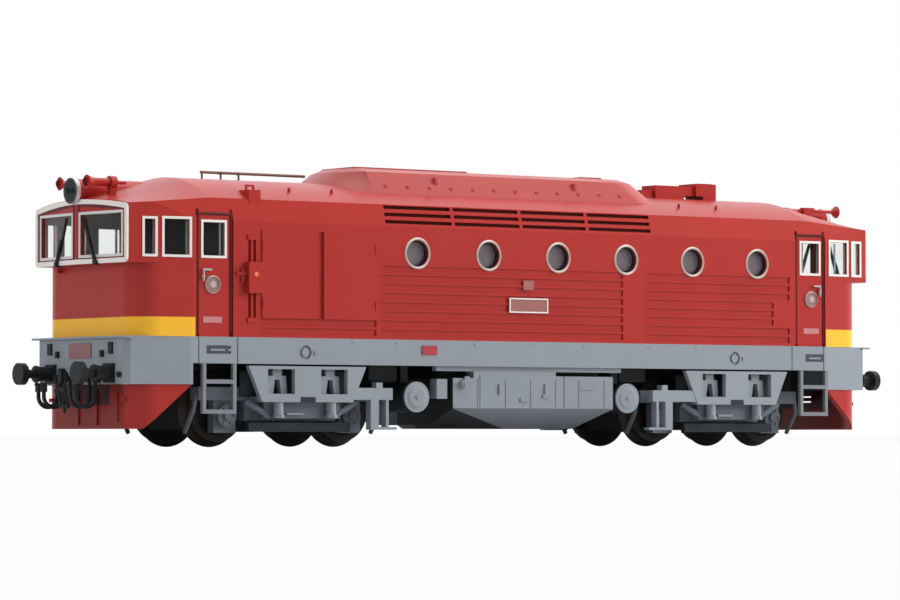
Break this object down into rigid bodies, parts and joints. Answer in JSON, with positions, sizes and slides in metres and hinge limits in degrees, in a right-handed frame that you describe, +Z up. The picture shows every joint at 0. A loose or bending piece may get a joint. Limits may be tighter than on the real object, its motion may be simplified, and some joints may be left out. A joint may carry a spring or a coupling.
{
  "type": "model diesel locomotive, 1:87 scale",
  "caption": "Scale model of a double-cab diesel locomotive with rounded windscreen bands, porthole windows, roof hood, buffers and two swivelling four-wheel bogies.",
  "frame": {"origin": "centre of the model's footprint, on the floor under the wheel flanges", "axes": "+X towards the first cab, +Y to the locomotive's left side, +Z up"},
  "size_m": [0.19, 0.0372, 0.0528],
  "materials": {
    "body_red": "satin red paint",
    "cream_trim": "satin cream print",
    "silver_trim": "satin silver print",
    "clear": "clear plastic",
    "frame_grey": "satin grey paint",
    "bogie_grey": "matt grey plastic",
    "black": "matt black",
    "cab_green": "matt grey-green",
    "ballast": "dark cast metal",
    "wheel_steel": "blackened steel",
    "plate_red": "satin red print",
    "rail_brown": "browned wire"
  },
  "bodies": {
    "locomotive": {"body_shell": "body_red", "roof_hood": "body_red", "exhaust_silencer": "body_red", "horns": "body_red", "snow_ploughs": "body_red", "side_window_trims": "cream_trim", "windscreen_frames": "cream_trim", "porthole_rims": "cream_trim", "windscreen_surrounds": "silver_trim", "headlight_housings": "silver_trim", "number_plates": "silver_trim", "door_discs": "silver_trim", "side_window_glass": "clear", "windscreen_glass": "clear", "porthole_glass": "clear", "underframe": "frame_grey", "ladders": "frame_grey", "fuel_tank": "frame_grey", "air_tanks": "frame_grey", "buffers": "black", "draw_hook": "black", "coupler_pocket": "black", "brake_hoses": "black", "wipers": "black", "marker_lamps": "black", "headlight_lenses": "black", "bogie_pins": "black", "cab_interiors": "cab_green", "chassis_block": "ballast", "frame_plates": "plate_red", "roof_handrail": "rail_brown"},
    "bogie_front": {"bogie_frame_front": "bogie_grey", "bogie_cradle_front": "bogie_grey", "axleboxes_front": "bogie_grey", "spring_hangers_front": "bogie_grey", "brake_gear_front": "bogie_grey", "bogie_gearbox_front": "black"},
    "bogie_rear": {"bogie_frame_rear": "bogie_grey", "bogie_cradle_rear": "bogie_grey", "axleboxes_rear": "bogie_grey", "spring_hangers_rear": "bogie_grey", "brake_gear_rear": "bogie_grey", "bogie_gearbox_rear": "black"},
    "wheelset_1": {"wheels_1": "wheel_steel", "axle_1": "wheel_steel"},
    "wheelset_2": {"wheels_2": "wheel_steel", "axle_2": "wheel_steel"},
    "wheelset_3": {"wheels_3": "wheel_steel", "axle_3": "wheel_steel"},
    "wheelset_4": {"wheels_4": "wheel_steel", "axle_4": "wheel_steel"}
  },
  "joints": [
    {"name": "bogie_front_swivel", "type": "hinge", "parent": "locomotive", "child": "bogie_front", "pos_m": [0.05115, 0, 0.0117], "axis": [0, 0, 1], "range_deg": [-6, 6]},
    {"name": "bogie_rear_swivel", "type": "hinge", "parent": "locomotive", "child": "bogie_rear", "pos_m": [-0.05115, 0, 0.0117], "axis": [0, 0, 1], "range_deg": [-6, 6]},
    {"name": "wheelset_1_spin", "type": "hinge", "parent": "bogie_front", "child": "wheelset_1", "pos_m": [0.06495, 0, 0.00675], "axis": [0, 1, 0], "continuous": true},
    {"name": "wheelset_2_spin", "type": "hinge", "parent": "bogie_front", "child": "wheelset_2", "pos_m": [0.03735, 0, 0.00675], "axis": [0, 1, 0], "continuous": true},
    {"name": "wheelset_3_spin", "type": "hinge", "parent": "bogie_rear", "child": "wheelset_3", "pos_m": [-0.03735, 0, 0.00675], "axis": [0, 1, 0], "continuous": true},
    {"name": "wheelset_4_spin", "type": "hinge", "parent": "bogie_rear", "child": "wheelset_4", "pos_m": [-0.06495, 0, 0.00675], "axis": [0, 1, 0], "continuous": true}
  ]
}
